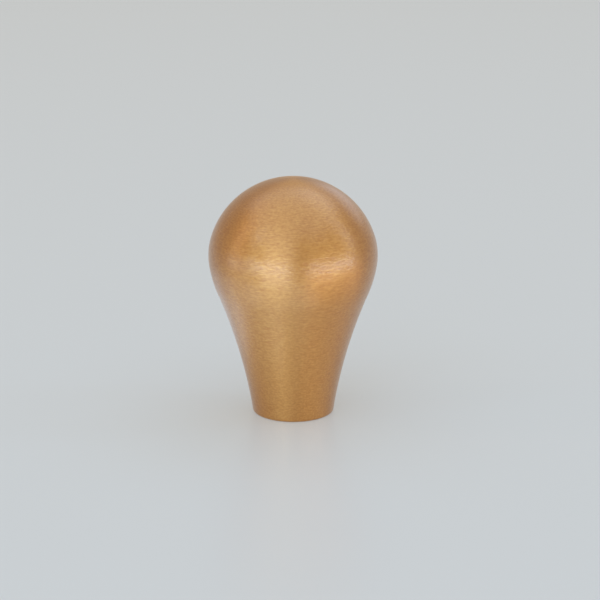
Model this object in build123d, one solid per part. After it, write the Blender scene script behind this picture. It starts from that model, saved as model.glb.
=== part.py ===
"""Cabinet knob, turned in one piece from solid bar, with a blind tapped hole in its base.

The frame has its origin at the centre of the base, with +Z up the turning axis to the crown.
The outline is a chain of arcs, each tangent to the next. From the top down they are the crown,
the shoulder round the widest ring, the haunch below it, and the hollow neck that runs to the base.
"""

from build123d import *

import os
from math import acos, degrees, radians, tan

# Outline: lengths in millimetres. A lean is the wall's angle from upright, in degrees.
KNOB_HEIGHT = 40.0
KNOB_DIAMETER = 28.0
BASE_DIAMETER = 13.5
CROWN_RADIUS = 14.2
SHOULDER_RADIUS = 10.4
SHOULDER_END_LEAN = 8.4
HAUNCH_RADIUS = 19.8
STEEPEST_LEAN = 22.7
RIM_ROUND = 0.35

# Fixing hole for an M4 screw of 0.7 mm pitch: its tap drill, and the countersink at its mouth.
TAP_DRILL_DIAMETER = 3.3
DRILL_DEPTH = 13.0
DRILL_POINT_ANGLE = 118.0
COUNTERSINK_DIAMETER = 4.6
COUNTERSINK_ANGLE = 90.0


def crown_edge_angle():
    """Angle above the level at which the crown meets the shoulder.

    The crown is centred on the axis and the shoulder reaches the full diameter, which leaves only
    one angle at which the two arcs are tangent.
    """
    shoulder_centre_offset = KNOB_DIAMETER / 2 - SHOULDER_RADIUS
    return degrees(acos(shoulder_centre_offset / (CROWN_RADIUS - SHOULDER_RADIUS)))


def turned_body():
    """The solid form, before its hole is drilled: the half outline spun about the axis."""
    with BuildPart() as body:
        with BuildSketch(Plane.XZ) as outline:
            with BuildLine():
                apex = (0, KNOB_HEIGHT)
                crown_edge = crown_edge_angle()
                crown = JernArc(apex, (1, 0), CROWN_RADIUS, crown_edge - 90)
                shoulder_turn = crown_edge + SHOULDER_END_LEAN
                shoulder = JernArc(crown @ 1, crown % 1, SHOULDER_RADIUS, -shoulder_turn)
                haunch_turn = STEEPEST_LEAN - SHOULDER_END_LEAN
                haunch = JernArc(shoulder @ 1, shoulder % 1, HAUNCH_RADIUS, -haunch_turn)
                neck = TangentArc(haunch @ 1, (BASE_DIAMETER / 2, 0), tangent=haunch % 1)
                base = Line(neck @ 1, (0, 0))
                Line(base @ 1, apex)
            make_face()
            rim_corner = outline.vertices().sort_by_distance(neck @ 1)[0]
            fillet(rim_corner, RIM_ROUND)
        revolve(axis=Axis.Z)
    return body.part


def fixing_hole():
    """The metal that the drill and the countersink take out, from the base upwards."""
    drill_radius = TAP_DRILL_DIAMETER / 2
    mouth_radius = COUNTERSINK_DIAMETER / 2
    point_length = drill_radius / tan(radians(DRILL_POINT_ANGLE / 2))
    countersink_depth = (mouth_radius - drill_radius) / tan(radians(COUNTERSINK_ANGLE / 2))
    with BuildPart() as hole:
        with BuildSketch(Plane.XZ):
            with BuildLine():
                Polyline(
                    (0, 0),
                    (mouth_radius, 0),
                    (drill_radius, countersink_depth),
                    (drill_radius, DRILL_DEPTH),
                    (0, DRILL_DEPTH + point_length),
                    close=True,
                )
            make_face()
        revolve(axis=Axis.Z)
    return hole.part


def knob_body():
    """The finished knob."""
    knob = turned_body() - fixing_hole()
    knob.label = "knob_body"
    return knob


os.makedirs("parts", exist_ok=True)
export_step(knob_body(), "parts/knob_body.step")
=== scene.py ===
"""Cabinet knob turned from solid brass, satin brushed and lacquered, on a pale studio floor.

The knob is one piece. Its outline is a chain of arcs, each tangent to the next. They are drawn by
spinning a point about each arc's centre, and the finished outline is spun about the knob's axis.
The socket in the base is drilled, countersunk and tapped with a real M4 thread.

Lengths are in millimetres up to the point where MM turns them to metres, and angles are in degrees.
"""

import logging
import math
from collections.abc import Callable
from dataclasses import dataclass, field
from enum import Enum

import bpy
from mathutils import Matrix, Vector


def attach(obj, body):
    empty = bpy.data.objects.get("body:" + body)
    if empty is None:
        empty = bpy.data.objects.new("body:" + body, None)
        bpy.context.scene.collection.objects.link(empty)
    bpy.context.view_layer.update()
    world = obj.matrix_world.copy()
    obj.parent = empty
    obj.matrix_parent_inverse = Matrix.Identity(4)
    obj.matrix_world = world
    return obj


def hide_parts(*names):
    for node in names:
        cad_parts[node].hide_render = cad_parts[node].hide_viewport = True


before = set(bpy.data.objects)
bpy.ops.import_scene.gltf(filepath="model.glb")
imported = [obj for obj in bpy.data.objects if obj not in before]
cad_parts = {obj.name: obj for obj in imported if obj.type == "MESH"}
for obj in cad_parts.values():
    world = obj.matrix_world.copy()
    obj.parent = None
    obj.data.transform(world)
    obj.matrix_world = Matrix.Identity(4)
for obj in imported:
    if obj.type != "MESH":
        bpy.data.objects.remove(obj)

LOG = logging.getLogger("cabinet_knob")
MM = 0.001
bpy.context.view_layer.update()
CAD_NODE = "knob_body"
BODY = "root"
RUN_ATTRIBUTE = "outline_run"
# Points closer together than this are one point.
MERGE_DISTANCE = 0.001 * MM
# One step of an arc turns no further than this.
WIDEST_TURN = 12.0
# An edge sharper than this is shaded as an edge.
SMOOTH_ANGLE = 30.0
# A quarter of a turn, as a shader's rotation counts it.
QUARTER_TURN = 0.25


class Finish(Enum):
    """The two finishes on the knob, with the material slot of the mesh that each one takes."""

    BRUSHED = 0
    CUT = 1


class Tint(Enum):
    """The colours of the studio's light, from the blue of the sky to the orange of wood."""

    SKY = "#B4DAFF"
    WARM = "#FFF0DC"
    ORANGE = "#FFC890"


class Reach(Enum):
    """What a softbox lights: all there is, or the knob alone."""

    ALL = "all"
    KNOB = "knob"


def linear(colour: str) -> tuple[float, float, float, float]:
    """Turns an sRGB hex colour into the linear colour that the shaders work in.

    Args:
        colour: the colour as "#RRGGBB".

    Returns:
        Linear red, green and blue, and an alpha of 1.
    """
    channels = [int(colour[i:i + 2], 16) / 255 for i in (1, 3, 5)]
    red, green, blue = (c / 12.92 if c <= 0.04045 else ((c + 0.055) / 1.055) ** 2.4 for c in channels)
    return red, green, blue, 1.0


def on_circle(radius: float, angle: float) -> tuple[float, float]:
    """The offset from a circle's centre to its point at an angle, in degrees from the first axis."""
    return radius * math.cos(math.radians(angle)), radius * math.sin(math.radians(angle))


def deselect_all() -> None:
    """Clears the selection, because an operator acts on everything that is selected."""
    bpy.ops.object.select_all(action="DESELECT")


def make_active(piece: bpy.types.Object) -> None:
    """Selects one object alone and makes it the active one."""
    deselect_all()
    piece.select_set(True)
    bpy.context.view_layer.objects.active = piece


def start_point(name: str, x: float, z: float) -> bpy.types.Object:
    """Starts a drawing in the XZ plane with one point, and leaves it selected in edit mode.

    Args:
        name: the new object's name.
        x: distance of the point from the knob's axis, in millimetres.
        z: height of the point above the base, in millimetres.

    Returns:
        The object, in edit mode, with its origin at the world's.
    """
    deselect_all()
    bpy.ops.mesh.primitive_plane_add(size=MM, location=(x * MM, 0, z * MM))
    bpy.ops.object.transform_apply(location=True, rotation=False, scale=False)
    drawing = bpy.context.active_object
    drawing.name = name
    bpy.ops.object.mode_set(mode="EDIT")
    bpy.ops.mesh.merge(type="CENTER")
    return drawing


def line_to(start: tuple[float, float], end: tuple[float, float]) -> None:
    """Draws a straight stretch of an outline from the selected point, in millimetres."""
    move = ((end[0] - start[0]) * MM, 0, (end[1] - start[1]) * MM)
    bpy.ops.mesh.extrude_region_move(TRANSFORM_OT_translate={"value": move})


@dataclass(frozen=True)
class Arc:
    """One round stretch of the outline, in the knob's XZ plane.

    Its angles run from +X, outwards, towards +Z, upwards, and are those of its two end points as
    seen from its centre.
    """

    centre: tuple[float, float]
    radius: float
    start: float
    end: float

    def point(self, angle: float) -> tuple[float, float]:
        """The arc's point at an angle, in millimetres."""
        across, up = on_circle(self.radius, angle)
        return self.centre[0] + across, self.centre[1] + up

    def draw(self, longest_step: float) -> None:
        """Spins the selected point about the centre, in steps no longer than the one given.

        Args:
            longest_step: the greatest length of one step along the arc, in millimetres.
        """
        turn = self.end - self.start
        length = math.radians(abs(turn)) * self.radius
        steps = math.ceil(max(length / longest_step, abs(turn) / WIDEST_TURN))
        centre = (self.centre[0] * MM, 0, self.centre[1] * MM)
        bpy.ops.mesh.spin(steps=steps, angle=math.radians(turn), center=centre, axis=(0, 1, 0))


@dataclass(frozen=True)
class Outline:
    """The knob's half outline, from the crown down to the rim of the base.

    A lean is the wall's angle from upright, inwards on the way down.
    """

    height: float = 40.0
    diameter: float = 28.0
    base_diameter: float = 13.5
    crown_radius: float = 14.2
    shoulder_radius: float = 10.4
    shoulder_end_lean: float = 8.4
    haunch_radius: float = 19.8
    steepest_lean: float = 22.7
    rim_round: float = 0.35

    def crown_edge(self) -> float:
        """The one angle at which a crown centred on the axis is tangent to the shoulder."""
        offset = self.diameter / 2 - self.shoulder_radius
        return math.degrees(math.acos(offset / (self.crown_radius - self.shoulder_radius)))

    def arcs(self) -> list[Arc]:
        """The arcs from the top down: crown, shoulder, haunch, neck and rim.

        Returns:
            The arcs, each starting where the one before it ends.
        """
        edge = self.crown_edge()
        crown = Arc((0.0, self.height - self.crown_radius), self.crown_radius, 90.0, edge)
        shoulder = self.next_arc(crown, self.shoulder_radius, -self.shoulder_end_lean)
        haunch = self.next_arc(shoulder, self.haunch_radius, -self.steepest_lean)
        neck, rim = self.neck_and_rim(haunch)
        return [crown, shoulder, haunch, neck, rim]

    @staticmethod
    def next_arc(arc: Arc, radius: float, end: float) -> Arc:
        """An arc that carries on from another with the same tangent, curving the same way.

        Args:
            arc: the arc that it follows.
            radius: its radius, in millimetres.
            end: the angle at which it ends.
        """
        across, up = on_circle(arc.radius - radius, arc.end)
        return Arc((arc.centre[0] + across, arc.centre[1] + up), radius, arc.end, end)

    def neck_and_rim(self, haunch: Arc) -> tuple[Arc, Arc]:
        """The hollow neck, which is centred outside the knob, and the small round at its foot.

        The neck leaves the haunch at its tangent and aims at the base's diameter. The rim is
        tangent to the neck and to the flat base.

        Args:
            haunch: the arc that the neck follows.

        Returns:
            The neck and the rim.
        """
        top = haunch.point(haunch.end)
        out = on_circle(1.0, haunch.end)
        drop = (self.base_diameter / 2 - top[0], -top[1])
        radius = (drop[0] ** 2 + drop[1] ** 2) / (2 * (drop[0] * out[0] + drop[1] * out[1]))
        centre = (top[0] + radius * out[0], top[1] + radius * out[1])
        rise = centre[1] - self.rim_round
        reach = math.sqrt((radius + self.rim_round) ** 2 - rise ** 2)
        neck_end = 180.0 + math.degrees(math.atan2(rise, reach))
        neck = Arc(centre, radius, 180.0 + haunch.end, neck_end)
        rim = Arc((centre[0] - reach, self.rim_round), self.rim_round, neck_end - 180.0, -90.0)
        return neck, rim


@dataclass(frozen=True)
class Socket:
    """The blind hole in the base for an M4 screw: tap drill, countersink and thread."""

    drill_diameter: float = 3.3
    drill_depth: float = 13.0
    drill_point_angle: float = 118.0
    countersink_diameter: float = 4.6
    countersink_angle: float = 90.0
    thread_diameter: float = 4.0
    thread_pitch: float = 0.7
    thread_depth: float = 10.0
    thread_angle: float = 60.0
    tap_overlap: float = 0.15
    steps_per_turn: int = 72

    def corners(self) -> list[tuple[float, float]]:
        """The hole's outline, from its mouth to the drill's point.

        Returns:
            The corners, as distances from the axis and heights, in millimetres.
        """
        drill = self.drill_diameter / 2
        mouth = self.countersink_diameter / 2
        sink = (mouth - drill) / math.tan(math.radians(self.countersink_angle / 2))
        point = drill / math.tan(math.radians(self.drill_point_angle / 2))
        return [(mouth, 0.0), (drill, sink), (drill, self.drill_depth), (0.0, self.drill_depth + point)]

    def tap(self) -> bpy.types.Object:
        """Makes the metal that a tap takes out: one right-hand helix of the thread's section.

        It starts a turn below the base, and it reaches a little into the drilled hole, so that
        the cut leaves no skin of metal between the two.

        Returns:
            The closed helix, to be cut out of the knob.
        """
        helix = self.section()
        self.sweep(helix)
        bpy.ops.object.mode_set(mode="EDIT")
        bpy.ops.mesh.select_all(action="DESELECT")
        bpy.ops.mesh.select_mode(type="EDGE")
        bpy.ops.mesh.select_non_manifold()
        bpy.ops.mesh.fill_holes(sides=4)
        bpy.ops.mesh.select_all(action="SELECT")
        bpy.ops.mesh.normals_make_consistent(inside=False)
        bpy.ops.object.mode_set(mode="OBJECT")
        return helix

    def section(self) -> bpy.types.Object:
        """Draws the thread's section, as an upright plate that is narrowed at its outer edge.

        Returns:
            The plate's four edges, without a face, where the thread starts.
        """
        crest = self.thread_pitch / 8
        inner = self.drill_diameter / 2 - self.tap_overlap
        outer = self.thread_diameter / 2
        depth = outer - inner
        middle = (inner + outer) / 2 * MM
        root = crest + 2 * depth * math.tan(math.radians(self.thread_angle / 2))
        deselect_all()
        bpy.ops.mesh.primitive_plane_add(size=1, rotation=(math.radians(90), 0, 0))
        plate = bpy.context.active_object
        plate.name = "tap"
        plate.scale = (depth * MM, root * MM, 1)
        plate.location = (middle, 0, -self.thread_pitch * MM)
        bpy.ops.object.transform_apply(location=True, rotation=True, scale=True)
        bpy.ops.object.mode_set(mode="EDIT")
        bpy.ops.mesh.delete(type="ONLY_FACE")
        select_points(plate, lambda p: p.x > middle)
        bpy.ops.transform.resize(value=(1, 1, crest / root))
        bpy.ops.object.mode_set(mode="OBJECT")
        return plate

    def sweep(self, plate: bpy.types.Object) -> None:
        """Sweeps the section up along the thread, to its full depth.

        Args:
            plate: the section, which becomes the swept helix, open at both ends.
        """
        screw = plate.modifiers.new("thread", "SCREW")
        screw.axis = "Z"
        screw.angle = math.tau
        screw.screw_offset = self.thread_pitch * MM
        screw.iterations = math.ceil(self.thread_depth / self.thread_pitch)
        screw.steps = self.steps_per_turn
        screw.render_steps = self.steps_per_turn
        bpy.ops.object.modifier_apply(modifier=screw.name)

    def thread(self, piece: bpy.types.Object) -> None:
        """Cuts the thread in the wall of a drilled hole.

        Args:
            piece: the object with the hole.
        """
        helix = self.tap()
        make_active(piece)
        cut = piece.modifiers.new("thread", "BOOLEAN")
        cut.operation = "DIFFERENCE"
        cut.solver = "EXACT"
        cut.object = helix
        bpy.ops.object.modifier_apply(modifier=cut.name)
        bpy.data.objects.remove(helix)


def select_points(piece: bpy.types.Object, wanted: Callable[[Vector], bool]) -> None:
    """Selects the points of a piece in edit mode that a test on their place picks out.

    Args:
        piece: the object, in edit mode.
        wanted: tells from a point's place, in metres, whether it is picked.
    """
    bpy.ops.mesh.select_mode(type="VERT")
    bpy.ops.mesh.select_all(action="DESELECT")
    bpy.ops.object.mode_set(mode="OBJECT")
    for vertex in piece.data.vertices:
        vertex.select = wanted(vertex.co)
    bpy.ops.object.mode_set(mode="EDIT")


@dataclass
class Knob:
    """The knob: its turned form, its tapped socket and its finish."""

    outline: Outline = field(default_factory=Outline)
    socket: Socket = field(default_factory=Socket)
    outline_step: float = 0.3
    segments_round: int = 320

    def build(self) -> bpy.types.Object:
        """Draws the outline, turns it about the axis and taps the hole.

        Returns:
            The knob, closed, with its faces pointing outwards.
        """
        piece = self.draw_outline()
        self.measure_run(piece)
        self.turn(piece)
        self.socket.thread(piece)
        make_active(piece)
        bpy.ops.object.shade_smooth_by_angle(angle=math.radians(SMOOTH_ANGLE))
        self.dress(piece)
        return piece

    def dress(self, piece: bpy.types.Object) -> None:
        """Gives the knob its satin finish, and its hole the bare metal that the tap left.

        The faces of the hole are those near the axis in the knob's lower half.

        Args:
            piece: the knob.
        """
        mouth = self.socket.countersink_diameter / 2 * MM
        top = self.outline.height / 2 * MM
        piece.data.materials.append(SatinBrass().material())
        piece.data.materials.append(CutBrass().material())
        for face in piece.data.polygons:
            in_hole = face.center.xy.length < mouth and face.center.z < top
            face.material_index = Finish.CUT.value if in_hole else Finish.BRUSHED.value

    def draw_outline(self) -> bpy.types.Object:
        """Draws the half outline, from the crown round to the drill's point, both on the axis.

        Returns:
            The object with the outline.
        """
        piece = start_point("turned_knob", 0.0, self.outline.height)
        for arc in self.outline.arcs():
            arc.draw(self.outline_step)
        here = (arc.centre[0], 0.0)
        for corner in self.socket.corners():
            line_to(here, corner)
            here = corner
        bpy.ops.object.mode_set(mode="OBJECT")
        return piece

    def measure_run(self, piece: bpy.types.Object) -> None:
        """Stores each point's distance along the outline from the crown, in millimetres.

        The brush lines follow it, because it grows evenly over crown, neck and base alike. It is
        stored before the outline is turned, which copies it to every point of a ring.

        Args:
            piece: the object with the outline.
        """
        points = piece.data.vertices
        joined = {point.index: set() for point in points}
        for edge in piece.data.edges:
            first, second = edge.vertices
            joined[first].add(second)
            joined[second].add(first)
        run = piece.data.attributes.new(RUN_ATTRIBUTE, "FLOAT", "POINT")
        here, travelled, ahead = 0, 0.0, joined[0]
        while ahead:
            there = ahead.pop()
            travelled += (points[there].co - points[here].co).length / MM
            run.data[there].value = travelled
            ahead = joined[there] - {here}
            here = there

    def turn(self, piece: bpy.types.Object) -> None:
        """Spins the outline round the knob's axis and closes the seam and the two poles.

        Args:
            piece: the object with the outline, which becomes the knob.
        """
        make_active(piece)
        bpy.ops.object.mode_set(mode="EDIT")
        bpy.ops.mesh.select_all(action="SELECT")
        bpy.ops.mesh.spin(steps=self.segments_round, angle=math.tau, center=(0, 0, 0), axis=(0, 0, 1))
        bpy.ops.mesh.select_all(action="SELECT")
        bpy.ops.mesh.remove_doubles(threshold=MERGE_DISTANCE)
        bpy.ops.mesh.normals_make_consistent(inside=False)
        bpy.ops.object.mode_set(mode="OBJECT")


def add_node(
    tree: bpy.types.NodeTree,
    kind: str,
    inputs: dict[str | int, object] | None = None,
    **settings: object,
) -> bpy.types.Node:
    """Adds a node to a tree, with its settings, its input values and its input links.

    Args:
        tree: the material's or the world's node tree.
        kind: the node's type, without the "ShaderNode" that all of them start with.
        inputs: a value, or the output socket to link, for each input's name or number.
        **settings: the node's own properties, such as the operation of a Math node.

    Returns:
        The new node.
    """
    node = tree.nodes.new("ShaderNode" + kind)
    for name, value in settings.items():
        setattr(node, name, value)
    for name, value in (inputs or {}).items():
        if isinstance(value, bpy.types.NodeSocket):
            tree.links.new(value, node.inputs[name])
        else:
            node.inputs[name].default_value = value
    return node


def looks(tree: bpy.types.NodeTree) -> bpy.types.NodeSocket:
    """Tells the rays by which a thing is seen from those that only carry light between things.

    Args:
        tree: the material's node tree.

    Returns:
        One for a ray seen straight, in a gloss or through glass, and otherwise zero.
    """
    path = add_node(tree, "LightPath").outputs
    mirrored = {0: path["Is Camera Ray"], 1: path["Is Glossy Ray"]}
    bare_or_mirrored = add_node(tree, "Math", mirrored, operation="ADD").outputs[0]
    seen = {0: bare_or_mirrored, 1: path["Is Transmission Ray"]}
    return add_node(tree, "Math", seen, operation="ADD", use_clamp=True).outputs[0]


@dataclass(frozen=True)
class BrushLines:
    """Fine lines round the knob, as a strip of abrasive leaves them on work that turns.

    A real line of a 180 grit strip is under 0.1 mm wide. These are drawn wider, 0.14 to
    0.34 mm, so that they show at six pixels to the millimetre.
    """

    width: float
    length: float
    seed: float

    def height(self, tree: bpy.types.NodeTree, spoke: bpy.types.NodeSocket, run: bpy.types.NodeSocket,
               radius: float) -> bpy.types.NodeSocket:
        """Adds the noise that is one where a line stands proud and zero where it is cut.

        The noise is read on a cylinder, slowly round it and fast along it, so it has no seam.

        Args:
            tree: the material's node tree.
            spoke: the unit vector from the axis to the surface point.
            run: the distance along the outline, in millimetres.
            radius: the radius at which a line has its stated length, in millimetres.

        Returns:
            The noise, from 0 to 1.
        """
        across = self.wound(tree, spoke, run, radius / self.length, 1.0 / self.width, self.seed)
        return add_node(tree, "TexNoise", {
            "Vector": across,
            "Scale": 1.0,
            "Detail": 1.0,
            "Roughness": 0.5,
        }).outputs["Fac"]

    @staticmethod
    def wound(tree: bpy.types.NodeTree, spoke: bpy.types.NodeSocket, run: bpy.types.NodeSocket,
              around: float, along: float, seed: float) -> bpy.types.NodeSocket:
        """Winds the surface onto a cylinder, so that noise can be read there.

        Args:
            tree: the material's node tree.
            spoke: the unit vector from the axis to the surface point.
            run: the distance along the outline, in millimetres.
            around: the cylinder's radius.
            along: the cylinder's length for each millimetre of the run.
            seed: how far up the cylinder the run starts.

        Returns:
            The place on the cylinder.
        """
        rise = add_node(tree, "Math", {0: run, 1: along, 2: seed}, operation="MULTIPLY_ADD")
        lift = add_node(tree, "CombineXYZ", {"Z": rise.outputs[0]})
        reach = (around, around, around)
        inputs = {0: spoke, 1: reach, 2: lift.outputs[0]}
        return add_node(tree, "VectorMath", inputs, operation="MULTIPLY_ADD").outputs[0]


@dataclass(frozen=True)
class SatinBrass:
    """Brass, turned and brushed round its axis to a satin bronze tone, under a clear lacquer.

    The brush lines spread each highlight across themselves, so light stands in upright bands on
    the neck. The lacquer lays a thinner, whiter sheen over the warm metal. A span is the part of
    the grain's range, from 0 to 1, over which the tone or the roughness goes from end to end.
    """

    metal: str = "#CA9049"
    worn: str = "#B97A38"
    roughness: float = 0.5
    roughness_swing: float = 0.1
    anisotropy: float = 0.6
    lacquer_ior: float = 1.5
    lacquer_roughness: float = 0.28
    line_depth: float = 0.05
    mean_radius: float = 11.0
    tone_span: tuple[float, float] = (0.35, 0.65)
    roughness_span: tuple[float, float] = (0.3, 0.7)
    lines: tuple[BrushLines, ...] = (
        BrushLines(width=0.14, length=1.2, seed=0.0),
        BrushLines(width=0.34, length=0.5, seed=90.0),
    )

    def material(self) -> bpy.types.Material:
        """Builds the material.

        Returns:
            The material, which reads Object coordinates and the outline's run.
        """
        made = bpy.data.materials.new("satin_brushed_brass")
        made.use_nodes = True
        tree = made.node_tree
        tree.nodes.clear()
        place = add_node(tree, "TexCoord").outputs["Object"]
        level = {0: place, 1: (1, 1, 0)}
        flat = add_node(tree, "VectorMath", level, operation="MULTIPLY").outputs[0]
        spoke = add_node(tree, "VectorMath", {0: flat}, operation="NORMALIZE").outputs[0]
        shader = self.shader(tree, spoke, self.grain(tree, spoke))
        add_node(tree, "OutputMaterial", {"Surface": shader.outputs[0]})
        return made

    def grain(self, tree: bpy.types.NodeTree, spoke: bpy.types.NodeSocket) -> bpy.types.NodeSocket:
        """Adds the fine and the coarse brush lines together.

        Args:
            tree: the material's node tree.
            spoke: the unit vector from the axis to the surface point.

        Returns:
            The mean of the two, from 0 to 1.
        """
        run = add_node(tree, "Attribute", attribute_name=RUN_ATTRIBUTE).outputs["Fac"]
        fine, coarse = (lines.height(tree, spoke, run, self.mean_radius) for lines in self.lines)
        both = add_node(tree, "Math", {0: fine, 1: coarse}, operation="ADD").outputs[0]
        return add_node(tree, "Math", {0: both, 1: 0.5}, operation="MULTIPLY").outputs[0]

    def shader(self, tree: bpy.types.NodeTree, spoke: bpy.types.NodeSocket,
               grain: bpy.types.NodeSocket) -> bpy.types.Node:
        """Adds the brass and the lacquer over it.

        The proud lines are paler and smoother than the cut ones. The metal spreads a highlight
        across the lines, so its rotation is a quarter turn from the way round the knob.

        Args:
            tree: the material's node tree.
            spoke: the unit vector from the axis to the surface point.
            grain: the height of the brush lines, from 0 to 1.

        Returns:
            The shader node.
        """
        upright = {0: (0, 0, 1), 1: spoke}
        round_way = add_node(tree, "VectorMath", upright, operation="CROSS_PRODUCT").outputs[0]
        tone = add_node(tree, "MapRange", {
            "Value": grain,
            "From Min": self.tone_span[0],
            "From Max": self.tone_span[1],
        })
        tones = {0: tone.outputs[0], 6: linear(self.worn), 7: linear(self.metal)}
        colour = add_node(tree, "Mix", tones, data_type="RGBA")
        rough = add_node(tree, "MapRange", {
            "Value": grain,
            "From Min": self.roughness_span[0],
            "From Max": self.roughness_span[1],
            "To Min": self.roughness + self.roughness_swing / 2,
            "To Max": self.roughness - self.roughness_swing / 2,
        })
        bump = add_node(tree, "Bump", {
            "Height": grain,
            "Strength": 1.0,
            "Distance": self.line_depth * MM,
        })
        return add_node(tree, "BsdfPrincipled", {
            "Base Color": colour.outputs[2],
            "Metallic": 1.0,
            "Roughness": rough.outputs[0],
            "Normal": bump.outputs[0],
            "Anisotropic": self.anisotropy,
            "Anisotropic Rotation": QUARTER_TURN,
            "Tangent": round_way,
            "Coat Weight": 1.0,
            "Coat IOR": self.lacquer_ior,
            "Coat Roughness": self.lacquer_roughness,
            "Coat Normal": bump.outputs[0],
        })


@dataclass(frozen=True)
class CutBrass:
    """Bare brass inside the tapped hole: brighter and yellower, as drill and tap left it."""

    metal: str = "#E6C27A"
    roughness: float = 0.28

    def material(self) -> bpy.types.Material:
        """Builds the material.

        Returns:
            The material, which is the same all over.
        """
        made = bpy.data.materials.new("cut_brass")
        made.use_nodes = True
        shader = made.node_tree.nodes["Principled BSDF"]
        shader.inputs["Base Color"].default_value = linear(self.metal)
        shader.inputs["Metallic"].default_value = 1.0
        shader.inputs["Roughness"].default_value = self.roughness
        return made


def direction(azimuth: float, elevation: float) -> Vector:
    """The unit vector from the knob towards an azimuth and an elevation, in degrees."""
    level, up = on_circle(1.0, elevation)
    forward, right = on_circle(level, azimuth)
    return Vector((right, -forward, up))


@dataclass(frozen=True)
class Softbox:
    """A soft lamp that faces the knob.

    Its azimuth is 0 behind the camera and grows to the right, and its elevation is above the
    horizon, both seen from the knob's shoulder. At a strength of 1 its face is as bright as a
    white surface that renders as pure white. One that lights the knob alone stands for the light
    that a glossy table throws up at the metal. One that lies flat faces straight up.
    """

    name: str
    azimuth: float
    elevation: float
    distance: float
    width: float
    height: float
    strength: float
    tint: Tint
    reach: Reach = Reach.ALL
    lies_flat: bool = False

    def build(self, target: Vector, knob_alone: bpy.types.Collection) -> bpy.types.Object:
        """Adds the lamp.

        Args:
            target: the point that it faces, in metres.
            knob_alone: the collection with the knob, for a lamp that lights nothing else.

        Returns:
            The lamp.
        """
        away = direction(self.azimuth, self.elevation)
        back = Vector((0, 0, -1)) if self.lies_flat else away
        face = bpy.data.lights.new(self.name, "AREA")
        face.shape = "RECTANGLE"
        face.size, face.size_y = self.width * MM, self.height * MM
        face.energy = self.strength * math.pi * face.size * face.size_y
        face.color = linear(self.tint.value)[:3]
        lamp = bpy.data.objects.new(self.name, face)
        lamp.location = target + away * self.distance * MM
        lamp.rotation_euler = back.to_track_quat("Z", "Y").to_euler()
        lamp.visible_camera = False
        bpy.context.scene.collection.objects.link(lamp)
        if self.reach is Reach.KNOB:
            lamp.light_linking.receiver_collection = knob_alone
        return lamp


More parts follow.
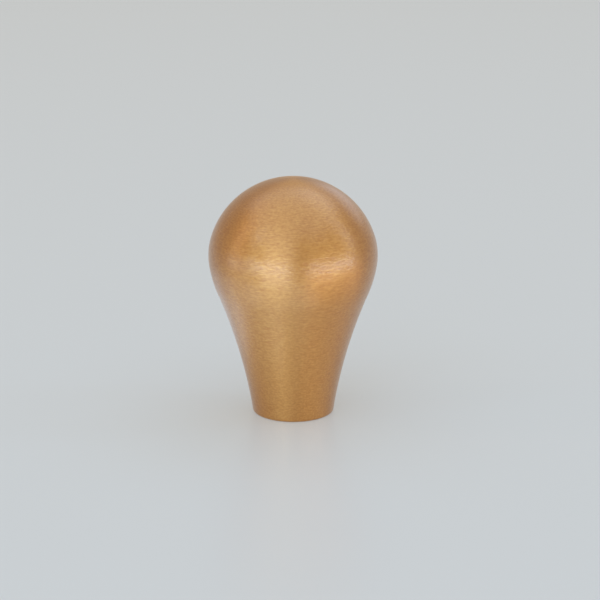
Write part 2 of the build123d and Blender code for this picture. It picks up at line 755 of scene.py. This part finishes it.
@dataclass
class Studio:
    """The pale floor, the lamps, the room's own light and the camera."""

    floor_radius: float = 1500.0
    floor_colour: str = "#C4C4C4"
    floor_roughness: float = 0.33
    floor_ior: float = 1.9
    even_tone: str = "#E0E2DB"
    even_share: float = 0.3
    room_tint: Tint = Tint.WARM
    room_strength: float = 0.55
    shoulder_height: float = 28.0
    aim: tuple[float, float, float] = (1.145, 0.0, 19.184)
    camera_distance: float = 400.0
    camera_elevation: float = 17.0
    camera_lens: float = 144.35
    camera_sensor: float = 36.0
    nearest_seen: float = 10.0
    # Azimuth, elevation, distance, width, height and strength, as in Softbox.
    softboxes: tuple[Softbox, ...] = (
        Softbox("ceiling", 0, 90, 800, 1500, 1500, 1.05, Tint.SKY),
        Softbox("top_back_right", 140, 56, 800, 600, 330, 0.8, Tint.SKY),
        Softbox("back_right", 150, 20, 800, 500, 300, 0.85, Tint.SKY, Reach.KNOB),
        Softbox("key_left", -20, 24, 800, 550, 680, 1.4, Tint.SKY),
        Softbox("high_left", -60, 38, 800, 200, 200, 2.95, Tint.SKY),
        Softbox("window_left", -88, 30, 800, 110, 520, 1.75, Tint.WARM),
        Softbox("window_right", 92, 30, 800, 110, 520, 3.35, Tint.SKY),
        Softbox("horizon_far_left", -75, -3, 140, 90, 36, 1.9, Tint.SKY, Reach.KNOB),
        Softbox("horizon_left", -30, -1, 140, 140, 24, 7.25, Tint.SKY, Reach.KNOB),
        Softbox("horizon_right", 52, -1, 140, 190, 24, 7.0, Tint.SKY, Reach.KNOB),
        Softbox("table_left", -20, -18, 60, 36, 16, 2.5, Tint.SKY, Reach.KNOB),
        Softbox("table_right", 35, -18, 60, 40, 16, 1.4, Tint.WARM, Reach.KNOB),
        Softbox("table_far_right", 75, -18, 60, 40, 16, 0.7, Tint.ORANGE, Reach.KNOB),
        Softbox("table_back", 180, -20, 60, 36, 16, 3.0, Tint.SKY, Reach.KNOB),
        Softbox("card_left", -72, -30, 54, 44, 44, 0.65, Tint.SKY, Reach.KNOB, lies_flat=True),
        Softbox("card_far_left", -115, -30, 54, 44, 44, 0.3, Tint.SKY, Reach.KNOB, lies_flat=True),
        Softbox("card_front_left", -35, -32, 52, 40, 40, 0.65, Tint.SKY, Reach.KNOB, lies_flat=True),
        Softbox("card_front", 0, -32, 52, 40, 40, 0.9, Tint.SKY, Reach.KNOB, lies_flat=True),
    )

    def build(self, knob: bpy.types.Object) -> None:
        """Sets the studio up round the finished knob.

        Args:
            knob: the knob, which some of the lamps light alone.
        """
        self.floor()
        self.room()
        knob_alone = bpy.data.collections.new("knob_alone")
        knob_alone.objects.link(knob)
        target = Vector((0, 0, self.shoulder_height * MM))
        for softbox in self.softboxes:
            softbox.build(target, knob_alone)
        self.camera()
        bpy.context.scene.view_settings.view_transform = "Standard"

    def floor(self) -> None:
        """Lays the floor, a wide disc of satin white laminate.

        What the camera and the metal see of it is partly an even tone of its own, so the floor
        stays as pale and even as the photograph's. The rest is lit, so it keeps the knob's soft
        shadow and reflection.
        """
        deselect_all()
        bpy.ops.mesh.primitive_circle_add(vertices=96, radius=self.floor_radius * MM, fill_type="NGON")
        floor = bpy.context.active_object
        floor.name = "floor"
        made = bpy.data.materials.new("satin_laminate")
        made.use_nodes = True
        tree = made.node_tree
        tree.nodes.clear()
        seen = {0: looks(tree), 1: self.even_share}
        share = add_node(tree, "Math", seen, operation="MULTIPLY").outputs[0]
        lit = add_node(tree, "BsdfPrincipled", {
            "Base Color": linear(self.floor_colour),
            "Roughness": self.floor_roughness,
            "IOR": self.floor_ior,
        })
        even = add_node(tree, "Emission", {"Color": linear(self.even_tone), "Strength": 1.0})
        both = add_node(tree, "MixShader", {0: share, 1: lit.outputs[0], 2: even.outputs[0]})
        add_node(tree, "OutputMaterial", {"Surface": both.outputs[0]})
        floor.data.materials.append(made)

    def room(self) -> None:
        """Fills the room with even light, from walls of one plain tone."""
        world = bpy.data.worlds.new("studio")
        bpy.context.scene.world = world
        world.use_nodes = True
        tree = world.node_tree
        tree.nodes.clear()
        walls = add_node(tree, "Background", {
            "Color": linear(self.room_tint.value),
            "Strength": self.room_strength,
        })
        add_node(tree, "OutputWorld", {"Surface": walls.outputs[0]})

    def camera(self) -> None:
        """Places the camera as the photograph's: a long lens that looks down a little."""
        lens = bpy.data.cameras.new("camera")
        lens.lens = self.camera_lens
        lens.sensor_width = self.camera_sensor
        lens.clip_start = self.nearest_seen * MM
        camera = bpy.data.objects.new("camera", lens)
        back = direction(0.0, self.camera_elevation)
        camera.location = Vector(self.aim) * MM + back * self.camera_distance * MM
        camera.rotation_euler = back.to_track_quat("Z", "Y").to_euler()
        bpy.context.scene.collection.objects.link(camera)
        bpy.context.scene.camera = camera


def main() -> None:
    """Builds the knob and the studio round it."""
    logging.basicConfig(level=logging.INFO, format="%(name)s: %(message)s")
    knob = Knob().build()
    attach(knob, BODY)
    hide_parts(CAD_NODE)
    LOG.info("%s has %d faces", knob.name, len(knob.data.polygons))
    Studio().build(knob)


if __name__ == "__main__":
    main()
